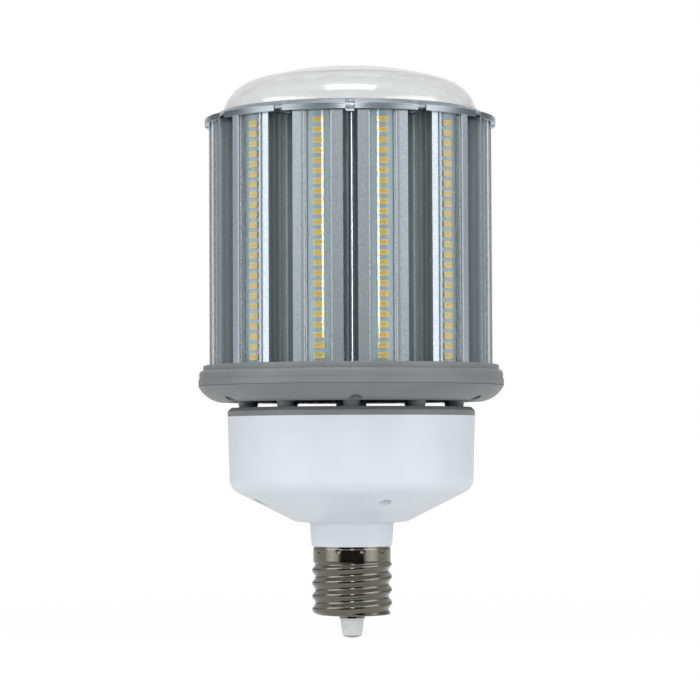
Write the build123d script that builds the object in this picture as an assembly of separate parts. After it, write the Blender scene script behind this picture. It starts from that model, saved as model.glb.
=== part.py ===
from build123d import *
import math
import os

# Retrofit LED lamp: clear dome, finned heat sink with twelve LED strips, driver housing, screw base.
# Sizes are in millimetres. The origin is the tip of the centre contact, and +Z runs up the axis.
# Angles round the axis are in degrees, from the front (-Y) towards +X.

# Fits
slide_fit = 0.1
loose_fit = 0.3
thread_fit = 0.05

# Screws
screw_radius = 1.5
screw_head_radius = 2.7
screw_head_height = 2.0
screw_bite = 9.0

# Screw base
thread_crest_radius = 19.65
thread_depth = 1.6
thread_pitch = 6.35
thread_turns = 4
thread_crest_land = 1.2
thread_root_land = 1.4
thread_lead_in = 1.1
skirt_step = 0.6
skirt_height = 7.0
shell_wall = 0.65
shell_floor = 0.8
shell_foot_round = 1.0
shell_neck_height = 1.6
shell_neck_wall = 0.6
insulator_top_radius = 5.95
insulator_taper = 1.2
insulator_cone_height = 8.6
insulator_foot_round = 0.8
insulator_flange_reach = 3.05
insulator_flange_height = 2.0
contact_height = 1.1
contact_inset = 0.2
contact_stem_radius = 1.6
contact_stem_end = 1.9

# Driver housing
housing_rim_radius = 60.5
housing_draft = 1.0
housing_wall = 2.5
housing_wall_height = 35.2
shoulder_round = 7.5
cone_rise = 16.1
cone_foot_round = 1.5
cone_ledge = 7.0
step_height = 0.7
neck_height = 11.3
neck_ledge = 0.65
neck_draft = 0.8
neck_root_round = 1.0
spigot_length = 20.0
spigot_wall = 2.3
tower_count = 4
tower_angle = 19.7
tower_inset = 13.7
tower_wall = 1.3
tower_top_below_rim = 11.2
recess_clearance = 0.4
recess_depth = 7.0

# Driver cap and its posts
cap_height = 4.2
cap_plate = 2.5
cap_edge_bevel = 1.7
cap_spigot_length = 5.0
cap_spigot_wall = 2.0
cap_boss_wall = 2.5
wire_tube_radius = 7.4
wire_tube_wall = 1.5
wire_tube_above_cap = 8.0
air_gap = 2.8
post_count = 10
post_inset = 7.5
post_wall = 2.3
post_flare = 0.6

# Heat sink: two equal halves from one extrusion
heat_sink_length = 120.0
panels_per_half = 6
panel_pitch = 30.84
panel_reach = 68.6
panel_width = 24.1
land_fall = 0.3
sink_wall = 2.0
flute_depth = 18.0
channel_floor = 2.2
ridge_depths = (4.6, 8.4, 12.8)
ridge_height = 0.8
ridge_width = 1.1
bead_margin = 0.8
bead_width = 0.9
bead_height = 0.5
lip_reach = 0.55
lip_thickness = 1.0
sink_boss_wall = 1.9
sink_boss_inset = 4.4
seam_offset = -0.6
seam_gap = 0.2
seam_lip_width = 2.4
seam_lip_depth = 11.0

# LED strips
board_width = 10.5
board_thickness = 1.2
led_pitch = 4.8
led_end_margin = 1.2
led_width = 5.6
led_length = 3.0
led_height = 0.7
cover_width = 13.3
cover_thickness = 0.75
cover_rise = 1.9
cover_gap_over_leds = 0.3

# Bowl and collar under the heat sink
collar_rim_wall = 2.57
collar_rim_height = 2.6
collar_rim_round = 0.8
collar_rim_step = 1.9
collar_band_height = 4.3
collar_band_round = 1.8
collar_foot_step = 0.4
collar_foot_height = 3.05
collar_seat_depth = 2.6
collar_floor = 3.0
collar_bore_radius = 12.0
collar_spigot_length = 1.5
collar_spigot_gap = 1.2
collar_spigot_wall = 2.2
collar_boss_wall = 1.9
bowl_height = 7.95
bowl_flare = 10.4
bowl_bulge = 1.5
bowl_wall = 2.5
parting_bevel = 0.35
bowl_screw_count = 6
bowl_screw_angle = 1.7
bowl_screw_inset = 7.9
bowl_recess_clearance = 0.5
bowl_recess_depth = 4.3
bowl_seat_web = 2.0
bowl_tower_wall = 1.6

# Top plate, top LEDs and dome
plate_overhang = 1.87
plate_thickness = 3.0
plate_bore_radius = 6.0
bevel_height = 2.8
bevel_foot_width = 4.0
bevel_top_width = 2.0
notch_width = 4.2
tab_inset = 0.8
tab_drop = 1.6
tab_lip_thickness = 1.1
top_board_gap = 1.9
top_board_thickness = 1.6
top_led_insets = (27.0, 11.0)
top_led_counts = (6, 12)
dome_inset = 8.7
dome_wall = 2.6
dome_knuckle = 19.0
dome_cap_radius = 165.0

# Driver on its board
driver_board_gap = 2.5
driver_board_thickness = 1.6
transformer_size = (26.0, 24.0, 22.0)
transformer_angle = 155.0
transformer_inset = 24.2
capacitor_radius = 9.0
capacitor_length = 30.0
capacitor_angles = (245.0, 335.0)
capacitor_inset = 26.6
choke_radius = 10.0
choke_bore_radius = 4.5
choke_height = 12.0
choke_angle = 65.0
choke_inset = 24.7
lead_radius = 1.0
neutral_lead_inset = 2.0
led_lead_spacing = 5.0

# Radii that follow from what a piece fits
tapped_radius = screw_radius + thread_fit
passed_radius = screw_radius + loose_fit
thread_root_radius = thread_crest_radius - thread_depth
skirt_radius = thread_crest_radius - skirt_step
shell_bore_radius = thread_root_radius - shell_wall
insulator_foot_radius = insulator_top_radius - insulator_taper
contact_radius = insulator_foot_radius - contact_inset
spigot_radius = shell_bore_radius - slide_fit
spigot_bore_radius = spigot_radius - spigot_wall
neck_foot_radius = skirt_radius + neck_ledge
neck_top_radius = neck_foot_radius + neck_draft
cone_foot_radius = neck_top_radius + cone_ledge
shoulder_radius = housing_rim_radius - housing_draft
recess_radius = screw_head_radius + recess_clearance
tower_circle_radius = housing_rim_radius - tower_inset
cap_spigot_radius = housing_rim_radius - housing_wall - loose_fit
cap_spigot_bore_radius = cap_spigot_radius - cap_spigot_wall
post_circle_radius = housing_rim_radius - post_inset
driver_board_radius = cap_spigot_bore_radius - driver_board_gap
flute_root_radius = panel_reach - flute_depth
sink_boss_circle_radius = flute_root_radius - sink_boss_inset
half_channel_gap = cover_width / 2 + slide_fit - lip_reach
bead_edge = half_channel_gap + bead_margin + bead_width
panel_edge_radius = math.hypot(panel_reach - land_fall, panel_width / 2)
sink_radius = max(panel_edge_radius, math.hypot(panel_reach + bead_height, bead_edge))
collar_seat_radius = sink_radius + loose_fit
collar_rim_radius = collar_seat_radius + collar_rim_wall
collar_band_radius = collar_rim_radius + collar_rim_step
collar_radius = collar_band_radius + collar_foot_step
bowl_floor_radius = collar_radius - bowl_flare
bowl_screw_circle_radius = collar_radius - bowl_screw_inset
bowl_recess_radius = screw_head_radius + bowl_recess_clearance
plate_radius = sink_radius + plate_overhang
dome_radius = plate_radius - dome_inset
bevel_foot_radius = dome_radius + bevel_foot_width
bevel_top_radius = dome_radius + bevel_top_width
notch_root_radius = dome_radius - dome_wall / 2
top_board_radius = sink_boss_circle_radius - screw_head_radius - top_board_gap

# Heights of the faces where pieces meet, from the tip up
insulator_foot = contact_height
shell_neck_foot = insulator_foot + insulator_cone_height
shell_foot = shell_neck_foot + shell_neck_height
shell_floor_top = shell_foot + shell_floor
flange_top = shell_floor_top + insulator_flange_height
contact_stem_top = flange_top + contact_stem_end
shell_top = shell_foot + thread_lead_in + thread_turns * thread_pitch + skirt_height
neck_top = shell_top + neck_height
cone_foot = neck_top + step_height
shoulder = cone_foot + cone_rise
housing_rim = shoulder + housing_wall_height
tower_top = housing_rim - tower_top_below_rim
driver_board_top = tower_top + driver_board_thickness
cap_top = housing_rim + cap_height
bowl_foot = cap_top + air_gap
bowl_floor_top = bowl_foot + bowl_wall
bowl_seat = bowl_foot + bowl_recess_depth
bowl_tower_top = bowl_seat + bowl_seat_web
bowl_rim = bowl_foot + bowl_height
collar_foot_top = bowl_rim + collar_foot_height
collar_step = collar_foot_top + collar_band_height
collar_top = collar_step + collar_rim_height
sink_foot = collar_top - collar_seat_depth
collar_floor_foot = sink_foot - collar_floor
sink_top = sink_foot + heat_sink_length
plate_top = sink_top + plate_thickness
top_board_face = plate_top + top_board_thickness

# The housing screws bear on the top of recesses that start at the cone's face
cone_slope = cone_rise / (shoulder_radius - cone_foot_radius)
tower_foot = cone_foot + cone_slope * (tower_circle_radius - cone_foot_radius)
tower_recess_top = tower_foot + recess_depth

# Lengths of the screws below their heads
plate_screw_length = plate_thickness + screw_bite
collar_screw_length = collar_floor + screw_bite
post_screw_length = bowl_wall + air_gap + cap_plate
housing_screw_length = driver_board_top - tower_recess_top + screw_bite

# The seam takes what the panels of one half leave of a half turn
seam_angle = (180 - (panels_per_half - 1) * panel_pitch) / 2
half_angles = [seam_angle + i * panel_pitch for i in range(panels_per_half)]
panel_angles = half_angles + [180 + angle for angle in half_angles]
flute_angles = [angle + panel_pitch / 2 for angle in half_angles[:-1]]
notch_angles = [0] + flute_angles + [180] + [180 + angle for angle in flute_angles]
boss_angles = flute_angles[::2] + [180 + angle for angle in flute_angles[::2]]

# As many LEDs as the length above the collar takes
led_row_length = sink_top - collar_top - 2 * led_end_margin
led_count = 1 + int((led_row_length - led_length) / led_pitch)

# Levels of a strip, as distances from the axis along its panel's normal
cover_back = panel_reach - lip_thickness - slide_fit / 2 - cover_thickness
led_face = cover_back - cover_gap_over_leds
board_face = led_face - led_height
board_back = board_face - board_thickness


def around(angle, radius=0.0):
    """Place on the circle of that radius, with local -Y pointing outwards."""
    return Rot(0, 0, angle) * Pos(0, -radius, 0)


def bar(radius, low, high, place=Pos(0, 0, 0)):
    """Upright cylinder between two heights."""
    upright = (Align.CENTER, Align.CENTER, Align.MIN)
    return place * Pos(0, 0, low) * Cylinder(radius, high - low, align=upright)


def turned(points, rounds=()):
    """Solid of revolution of a closed outline, with the corners in rounds turned to arcs."""
    outline = make_face(Polyline(*points, close=True))
    for corner, radius in rounds:
        outline = fillet(outline.vertices().sort_by_distance(corner)[0], radius)
    return revolve(Plane.XZ * outline, Axis.Z)


def strip(u_low, u_high, v_low, v_high):
    """Rectangle in a panel's plan: u runs along its face, v outwards from the axis."""
    middle = Pos((u_low + u_high) / 2, -(v_low + v_high) / 2)
    return middle * Rectangle(u_high - u_low, v_high - v_low)


def group(shapes):
    """One node of several separate solids."""
    return Compound([solid for shape in shapes for solid in shape.solids()])


def screw(place, seat, length, downwards=False):
    """Pan-head screw whose head bears on the height seat and whose shank runs on from there."""
    if downwards:
        return bar(screw_radius, seat - length, seat, place) + bar(
            screw_head_radius, seat, seat + screw_head_height, place
        )
    return bar(screw_radius, seat, seat + length, place) + bar(
        screw_head_radius, seat - screw_head_height, seat, place
    )


def circle_of(count, first, radius):
    """Equally spaced places round the axis."""
    return [around(first + i * 360 / count, radius) for i in range(count)]


# Places that two or more pieces share
tower_places = circle_of(tower_count, tower_angle, tower_circle_radius)
post_places = circle_of(post_count, 0, post_circle_radius)
post_screw_places = post_places[::2]
bowl_screw_places = circle_of(bowl_screw_count, bowl_screw_angle, bowl_screw_circle_radius)
sink_boss_places = [around(angle, sink_boss_circle_radius) for angle in boss_angles]
neutral_lead_place = around(0, spigot_bore_radius - neutral_lead_inset)
led_lead_places = [Pos(-led_lead_spacing / 2, 0), Pos(led_lead_spacing / 2, 0)]


def make_centre_contact():
    """Button whose face is an arc that rises by its height over its radius, on a stem."""
    face_radius = (contact_radius**2 + contact_height**2) / (2 * contact_height)
    half_turn = math.degrees(math.asin(contact_radius / face_radius))
    button = make_face(
        [
            CenterArc((0, face_radius), face_radius, 270, half_turn),
            Line((contact_radius, contact_height), (0, contact_height)),
            Line((0, contact_height), (0, 0)),
        ]
    )
    stem = bar(contact_stem_radius, contact_height, contact_stem_top)
    return revolve(Plane.XZ * button, Axis.Z) + stem


def make_base_insulator():
    stem_radius = insulator_top_radius - shell_neck_wall / 2
    foot_corner = (insulator_foot_radius, insulator_foot)
    bore = contact_stem_radius + slide_fit
    flange_radius = insulator_top_radius + insulator_flange_reach
    return turned(
        [
            (bore, insulator_foot),
            foot_corner,
            (insulator_top_radius, shell_neck_foot),
            (stem_radius, shell_neck_foot),
            (stem_radius, shell_floor_top),
            (flange_radius, shell_floor_top),
            (flange_radius, flange_top),
            (bore, flange_top),
        ],
        [(foot_corner, insulator_foot_round)],
    )


def make_screw_shell():
    neck_bore = insulator_top_radius - shell_neck_wall / 2 + slide_fit
    neck_radius = neck_bore + shell_neck_wall
    foot_corner = (thread_root_radius, shell_foot)
    outline = [
        (neck_bore, shell_neck_foot),
        (neck_radius, shell_neck_foot),
        (neck_radius, shell_foot),
        foot_corner,
    ]
    flank_reach = (thread_pitch - thread_root_land) / 2
    for turn in range(thread_turns):
        crest = shell_foot + thread_lead_in + flank_reach + turn * thread_pitch
        last = turn == thread_turns - 1
        outline += [
            (thread_root_radius, crest - flank_reach),
            (thread_crest_radius, crest - thread_crest_land / 2),
            (thread_crest_radius, crest + thread_crest_land / 2),
            (skirt_radius if last else thread_root_radius, crest + flank_reach),
        ]
    outline += [
        (skirt_radius, shell_top),
        (shell_bore_radius, shell_top),
        (shell_bore_radius, shell_floor_top),
        (neck_bore, shell_floor_top),
    ]
    return turned(outline, [(foot_corner, shell_foot_round)])


def make_driver_housing():
    spigot_foot = shell_top - spigot_length
    cone_wall = housing_wall * math.hypot(1, cone_slope)
    inner_shoulder = shoulder_radius - housing_wall
    inner_cone_top = shoulder + cone_wall - housing_wall * cone_slope
    inner_cone_foot = cone_foot + cone_wall
    root_corner = (neck_top_radius, neck_top)
    foot_corner = (cone_foot_radius, cone_foot)
    shoulder_corner = (shoulder_radius, shoulder)
    skin = [
        (0, spigot_foot),
        (spigot_radius, spigot_foot),
        (spigot_radius, shell_top),
        (neck_foot_radius, shell_top),
        root_corner,
        foot_corner,
        shoulder_corner,
        (housing_rim_radius, housing_rim),
        (0, housing_rim),
    ]
    rounds = [
        (root_corner, neck_root_round),
        (foot_corner, cone_foot_round),
        (shoulder_corner, shoulder_round),
    ]
    cavity = [
        (0, spigot_foot),
        (spigot_bore_radius, spigot_foot),
        (spigot_bore_radius, inner_cone_foot),
        (cone_foot_radius, inner_cone_foot),
        (inner_shoulder, inner_cone_top),
        (housing_rim_radius - housing_wall, housing_rim),
        (0, housing_rim),
    ]
    filled = turned(skin, rounds)
    hollow = turned(cavity, [((inner_shoulder, inner_cone_top), shoulder_round - housing_wall)])
    tower_radius = recess_radius + tower_wall
    towers = [filled & bar(tower_radius, shell_top, tower_top, p) for p in tower_places]
    recesses = [bar(recess_radius, shell_top, tower_recess_top, p) for p in tower_places]
    holes = [bar(passed_radius, tower_recess_top, tower_top, p) for p in tower_places]
    return filled - hollow + towers - recesses - holes


def make_driver_cap():
    spigot_foot = housing_rim - cap_spigot_length
    plate_foot = cap_top - cap_plate
    tube_bore = wire_tube_radius - wire_tube_wall
    cap = turned(
        [
            (tube_bore, plate_foot),
            (cap_spigot_bore_radius, plate_foot),
            (cap_spigot_bore_radius, spigot_foot),
            (cap_spigot_radius, spigot_foot),
            (cap_spigot_radius, housing_rim),
            (housing_rim_radius, housing_rim),
            (housing_rim_radius, cap_top - cap_edge_bevel),
            (housing_rim_radius - cap_edge_bevel, cap_top),
            (wire_tube_radius, cap_top),
            (wire_tube_radius, cap_top + wire_tube_above_cap),
            (tube_bore, cap_top + wire_tube_above_cap),
        ]
    )
    upright = (Align.CENTER, Align.CENTER, Align.MIN)
    post_radius = screw_radius + post_wall
    post = Cone(post_radius, post_radius + post_flare, air_gap, align=upright)
    posts = [place * Pos(0, 0, cap_top) * post for place in post_places]
    boss_radius = screw_radius + cap_boss_wall
    bosses = [bar(boss_radius, driver_board_top, plate_foot, p) for p in tower_places]
    bite_top = driver_board_top + screw_bite
    boss_holes = [bar(tapped_radius, driver_board_top, bite_top, p) for p in tower_places]
    post_holes = [bar(tapped_radius, plate_foot, bowl_foot, p) for p in post_screw_places]
    return cap + posts + bosses - boss_holes - post_holes


def bowl_side(inset, low, high):
    """Bulged side of the bowl between two heights, moved in along its lean by inset."""
    return SagittaArc((bowl_floor_radius - inset, low), (collar_radius - inset, high), -bowl_bulge)


def make_bowl():
    lean = bowl_wall / math.sqrt(2)
    side_top = bowl_rim - parting_bevel
    rim_edge = (collar_radius - parting_bevel, bowl_rim)
    side = bowl_side(0, bowl_foot, side_top)
    skin = Polyline(side @ 1, rim_edge, (0, bowl_rim), (0, bowl_foot), side @ 0)
    filled = revolve(Plane.XZ * make_face([side, skin]), Axis.Z)
    inner_side = bowl_side(lean, bowl_floor_top, bowl_rim)
    lining = Polyline(inner_side @ 1, (0, bowl_rim), (0, bowl_floor_top), inner_side @ 0)
    hollow = revolve(Plane.XZ * make_face([inner_side, lining]), Axis.Z)
    tower_radius = bowl_recess_radius + bowl_tower_wall
    towers = [filled & bar(tower_radius, bowl_foot, bowl_tower_top, p) for p in bowl_screw_places]
    recesses = [bar(bowl_recess_radius, bowl_foot, bowl_seat, p) for p in bowl_screw_places]
    holes = [bar(passed_radius, bowl_seat, bowl_tower_top, p) for p in bowl_screw_places]
    post_holes = [bar(passed_radius, bowl_foot, bowl_floor_top, p) for p in post_screw_places]
    wire_hole = bar(wire_tube_radius + loose_fit, bowl_foot, bowl_floor_top)
    return filled - hollow + towers - recesses - holes - post_holes - wire_hole


def make_collar():
    spigot_edge = collar_radius - bowl_wall - collar_spigot_gap
    band_corner = (collar_band_radius, collar_step)
    rim_corner = (collar_rim_radius, collar_top)
    collar = turned(
        [
            (collar_radius, bowl_rim),
            (collar_radius, collar_foot_top),
            (collar_band_radius, collar_foot_top),
            band_corner,
            (collar_rim_radius, collar_step),
            rim_corner,
            (collar_seat_radius, collar_top),
            (collar_seat_radius, sink_foot),
            (collar_bore_radius, sink_foot),
            (collar_bore_radius, collar_floor_foot),
            (spigot_edge - collar_spigot_wall, collar_floor_foot),
            (spigot_edge - collar_spigot_wall, bowl_rim - collar_spigot_length),
            (spigot_edge, bowl_rim - collar_spigot_length),
            (spigot_edge, bowl_rim),
        ],
        [(band_corner, collar_band_round), (rim_corner, collar_rim_round)],
    )
    boss_radius = screw_radius + collar_boss_wall
    bosses = [bar(boss_radius, bowl_tower_top, collar_floor_foot, p) for p in bowl_screw_places]
    bite_top = bowl_seat + screw_bite
    boss_holes = [bar(tapped_radius, bowl_tower_top, bite_top, p) for p in bowl_screw_places]
    sink_holes = [bar(passed_radius, collar_floor_foot, sink_foot, p) for p in sink_boss_places]
    return collar + bosses - boss_holes - sink_holes


def seam_lip(edge, back):
    """Flange with a rounded nose along one seam edge of a half, at the front or the back."""
    middle = edge + seam_lip_width / 2
    root = flute_root_radius - sink_wall
    nose = panel_reach - seam_lip_depth - seam_lip_width / 2
    web = Pos(middle, back * (root + nose) / 2) * Rectangle(seam_lip_width, nose - root)
    return web + Pos(middle, back * nose) * Circle(seam_lip_width / 2)


def panel_channel():
    """Cuts for the board, the clear cover over it and the gap between the lips that hold the cover."""
    half_board = board_width / 2 + slide_fit
    half_cover = half_channel_gap + lip_reach
    lip_back = panel_reach - lip_thickness
    open_face = panel_reach + bead_height + sink_wall
    return [
        strip(-half_board, half_board, board_back, cover_back),
        strip(-half_cover, half_cover, cover_back, lip_back),
        strip(-half_channel_gap, half_channel_gap, lip_back, open_face),
    ]


def panel_beads():
    """Two low beads along a panel's face, one each side of its channel."""
    low, high = panel_reach - sink_wall / 2, panel_reach + bead_height
    right = strip(bead_edge - bead_width, bead_edge, low, high)
    return [right, mirror(right, Plane.YZ)]


def panel_ridges(angle):
    """Ridges on the flanks of a panel, but not on a flank that faces the seam."""
    low, high = panel_width / 2 - sink_wall / 2, panel_width / 2 + ridge_height
    half_ridge = ridge_width / 2
    levels = [panel_reach - depth for depth in ridge_depths]
    right = [strip(low, high, level - half_ridge, level + half_ridge) for level in levels]
    left = [mirror(ridge, Plane.YZ) for ridge in right]
    if angle == half_angles[0]:
        return right
    if angle == half_angles[-1]:
        return left
    return right + left


def panel_box():
    """Plan of a panel from the axis out, whose face falls back from the channel to its edges."""
    half_width, edge_reach = panel_width / 2, panel_reach - land_fall
    return Polygon(
        (half_width, 0),
        (-half_width, 0),
        (-half_width, -edge_reach),
        (-half_channel_gap, -panel_reach),
        (half_channel_gap, -panel_reach),
        (half_width, -edge_reach),
        align=None,
    )


def half_section():
    """Plan of the right half: a corrugated wall of six panel boxes joined at the flute roots."""
    half_pocket = panel_width / 2 - sink_wall
    pocket = strip(-half_pocket, half_pocket, 0, board_back - channel_floor)
    outside = Circle(flute_root_radius) + [around(angle) * panel_box() for angle in half_angles]
    inside = Circle(flute_root_radius - sink_wall) + [around(angle) * pocket for angle in half_angles]
    front_edge = seam_offset + seam_gap / 2
    back_edge = -seam_offset + seam_gap / 2
    added = [seam_lip(front_edge, -1), seam_lip(back_edge, 1)]
    cuts = []
    for angle in half_angles:
        added += [around(angle) * piece for piece in panel_beads() + panel_ridges(angle)]
        cuts += [around(angle) * cut for cut in panel_channel()]
    for angle in flute_angles[::2]:
        place = around(angle, sink_boss_circle_radius)
        added.append(place * Circle(screw_radius + sink_boss_wall))
        cuts.append(place * Circle(tapped_radius))
    reach = 2 * panel_reach
    corner = (Align.MIN, Align.MIN)
    front_side = Pos(front_edge, -reach) * Rectangle(reach, reach, align=corner)
    back_side = Pos(back_edge, 0) * Rectangle(reach, reach, align=corner)
    return (outside - inside + added - cuts) & (front_side + back_side)


def make_heat_sink_half():
    return Pos(0, 0, sink_foot) * extrude(half_section(), heat_sink_length)


def upright_box(width, depth, height, place):
    """Box on the height of its place, whose back is on the place and whose front faces outwards."""
    return place * Box(width, depth, height, align=(Align.CENTER, Align.MAX, Align.MIN))


def make_led_board(angle):
    place = around(angle, board_back) * Pos(0, 0, sink_foot)
    return upright_box(board_width, board_thickness, heat_sink_length, place)


def make_strip_cover(angle):
    """Clear strip that lies flat under the lips of its channel and arches out between them."""
    half_cover = cover_width / 2
    half_arch = half_channel_gap - slide_fit
    half_hollow = half_arch - cover_thickness
    face, back = -cover_back - cover_thickness, -cover_back
    arch = ThreePointArc((-half_arch, face), (0, face - cover_rise), (half_arch, face))
    hollow = ThreePointArc((-half_hollow, back), (0, back - cover_rise), (half_hollow, back))
    right = Polyline(arch @ 1, (half_cover, face), (half_cover, back), hollow @ 1)
    left = Polyline(arch @ 0, (-half_cover, face), (-half_cover, back), hollow @ 0)
    section = make_face([arch, hollow, right, left])
    return around(angle) * Pos(0, 0, sink_foot) * extrude(section, heat_sink_length, dir=(0, 0, 1))


def make_leds(angle):
    leds = []
    for i in range(led_count):
        place = around(angle, board_face) * Pos(0, 0, collar_top + led_end_margin + i * led_pitch)
        leds.append(upright_box(led_width, led_height, led_length, place))
    return group(leds)


def make_top_plate():
    seat_radius = dome_radius + slide_fit
    plate = turned(
        [
            (plate_bore_radius, sink_top),
            (plate_radius, sink_top),
            (plate_radius, plate_top),
            (bevel_foot_radius, plate_top),
            (bevel_top_radius, plate_top + bevel_height),
            (seat_radius, plate_top + bevel_height),
            (seat_radius, plate_top),
            (plate_bore_radius, plate_top),
        ]
    )
    notch_places = [around(angle, notch_root_radius) * Pos(0, 0, sink_top) for angle in notch_angles]
    depth, height = plate_radius - notch_root_radius, plate_thickness + bevel_height
    notches = [upright_box(notch_width, depth, height, place) for place in notch_places]
    holes = [bar(passed_radius, sink_top, plate_top, place) for place in sink_boss_places]
    return plate - notches - holes


def make_top_led_board():
    hole_radius = lead_radius + slide_fit
    holes = [bar(hole_radius, plate_top, top_board_face, place) for place in led_lead_places]
    return bar(top_board_radius, plate_top, top_board_face) - holes


def make_top_leds():
    upright = (Align.CENTER, Align.CENTER, Align.MIN)
    led = Pos(0, 0, top_board_face) * Box(led_width, led_length, led_height, align=upright)
    leds = []
    for inset, count in zip(top_led_insets, top_led_counts):
        leds += [place * led for place in circle_of(count, 0, top_board_radius - inset)]
    return group(leds)


def dome_skin(inset):
    """Edges of the dome's profile from its rim to its apex, moved in by inset."""
    knuckle_middle = (dome_radius - dome_knuckle, plate_top)
    lean = math.asin((dome_radius - dome_knuckle) / (dome_cap_radius - dome_knuckle))
    cap_middle = plate_top - (dome_cap_radius - dome_knuckle) * math.cos(lean)
    knuckle = dome_knuckle - inset
    cap = dome_cap_radius - inset
    turn = 90 - math.degrees(lean)
    return [
        CenterArc(knuckle_middle, knuckle, 0, turn),
        CenterArc((0, cap_middle), cap, turn, 90 - turn),
    ]


def make_dome_cover():
    outer, inner = dome_skin(0), dome_skin(dome_wall)
    foot = Line(inner[0] @ 0, outer[0] @ 0)
    axis = Line(outer[1] @ 1, inner[1] @ 1)
    dome = revolve(Plane.XZ * make_face(outer + inner + [foot, axis]), Axis.Z)
    tab_root = notch_root_radius + slide_fit
    tab_reach = plate_radius - tab_inset
    tab = make_face(
        Polyline(
            (tab_root, plate_top - tab_drop),
            (tab_reach, plate_top - tab_drop),
            (tab_reach, plate_top - tab_drop + tab_lip_thickness),
            (bevel_foot_radius, plate_top),
            (bevel_top_radius, plate_top + bevel_height),
            (tab_root, plate_top + bevel_height),
            close=True,
        )
    )
    tab_width = notch_width - 2 * slide_fit
    strap = extrude(Plane.XZ * tab, tab_width / 2, both=True)
    return dome + [Rot(0, 0, angle - 90) * strap for angle in notch_angles]


def make_driver_board():
    board = bar(driver_board_radius, tower_top, driver_board_top)
    return board - [bar(passed_radius, tower_top, driver_board_top, p) for p in tower_places]


def hung(shape, angle, inset):
    """Part hung under the driver board, with its top on the board and its middle in from the edge."""
    return around(angle, driver_board_radius - inset) * Pos(0, 0, tower_top) * shape


def make_transformer():
    hanging = (Align.CENTER, Align.CENTER, Align.MAX)
    return hung(Box(*transformer_size, align=hanging), transformer_angle, transformer_inset)


def make_capacitors():
    hanging = (Align.CENTER, Align.CENTER, Align.MAX)
    can = Cylinder(capacitor_radius, capacitor_length, align=hanging)
    return group([hung(can, angle, capacitor_inset) for angle in capacitor_angles])


def make_choke():
    hanging = (Align.CENTER, Align.CENTER, Align.MAX)
    core = Cylinder(choke_radius, choke_height, align=hanging)
    bore = Cylinder(choke_bore_radius, choke_height, align=hanging)
    return hung(core - bore, choke_angle, choke_inset)


def make_input_leads():
    live = bar(lead_radius, contact_stem_top, tower_top)
    neutral = bar(lead_radius, shell_floor_top, tower_top, neutral_lead_place)
    return group([live, neutral])


def make_led_leads():
    return group([bar(lead_radius, driver_board_top, top_board_face, p) for p in led_lead_places])


sink_half = make_heat_sink_half()

nodes = {
    "dome_cover": make_dome_cover(),
    "top_plate": make_top_plate(),
    "top_led_board": make_top_led_board(),
    "top_leds": make_top_leds(),
    "heat_sink_right": sink_half,
    "heat_sink_left": Rot(0, 0, 180) * sink_half,
    "collar": make_collar(),
    "bowl": make_bowl(),
    "driver_cap": make_driver_cap(),
    "driver_housing": make_driver_housing(),
    "driver_board": make_driver_board(),
    "transformer": make_transformer(),
    "capacitors": make_capacitors(),
    "choke": make_choke(),
    "screw_shell": make_screw_shell(),
    "base_insulator": make_base_insulator(),
    "centre_contact": make_centre_contact(),
    "input_leads": make_input_leads(),
    "led_leads": make_led_leads(),
    "plate_screws": group([screw(p, plate_top, plate_screw_length, True) for p in sink_boss_places]),
    "collar_screws": group([screw(p, collar_floor_foot, collar_screw_length) for p in sink_boss_places]),
    "bowl_screws": group([screw(p, bowl_seat, screw_bite) for p in bowl_screw_places]),
    "post_screws": group([screw(p, bowl_floor_top, post_screw_length, True) for p in post_screw_places]),
    "housing_screws": group([screw(p, tower_recess_top, housing_screw_length) for p in tower_places]),
}
for number, angle in enumerate(panel_angles, start=1):
    nodes[f"led_board_{number:02d}"] = make_led_board(angle)
    nodes[f"leds_{number:02d}"] = make_leds(angle)
    nodes[f"strip_cover_{number:02d}"] = make_strip_cover(angle)

os.makedirs("parts", exist_ok=True)
for name, shape in nodes.items():
    export_step(shape, f"parts/{name}.step")
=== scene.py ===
import math

import bmesh
import bpy
from mathutils import Matrix, Vector


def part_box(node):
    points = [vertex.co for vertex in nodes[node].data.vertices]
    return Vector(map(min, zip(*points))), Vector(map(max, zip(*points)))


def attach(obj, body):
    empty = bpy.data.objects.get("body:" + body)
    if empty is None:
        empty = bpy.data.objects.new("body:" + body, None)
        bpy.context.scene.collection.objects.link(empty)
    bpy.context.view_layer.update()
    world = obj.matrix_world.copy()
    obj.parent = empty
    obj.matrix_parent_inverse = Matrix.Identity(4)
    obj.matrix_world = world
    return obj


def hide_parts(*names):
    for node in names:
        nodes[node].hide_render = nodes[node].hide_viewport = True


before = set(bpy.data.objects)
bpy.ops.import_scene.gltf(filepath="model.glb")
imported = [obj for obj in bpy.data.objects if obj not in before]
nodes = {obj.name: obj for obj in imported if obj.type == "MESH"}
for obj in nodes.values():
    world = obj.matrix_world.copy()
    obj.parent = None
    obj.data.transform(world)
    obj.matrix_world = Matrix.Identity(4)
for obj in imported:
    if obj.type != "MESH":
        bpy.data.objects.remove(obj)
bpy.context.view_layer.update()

# Retrofit LED lamp, dressed for the camera. Lengths are in metres, in the frame of the solids.
MM = 0.001

# Camera: lens and sensor in millimetres, pitch and roll in degrees
CAMERA_PLACE = (-0.0005, -1.30, 0.094)
CAMERA_LENS = 136.5
CAMERA_SENSOR = 36.0
CAMERA_PITCH = 2.05
CAMERA_ROLL = -0.25

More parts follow.
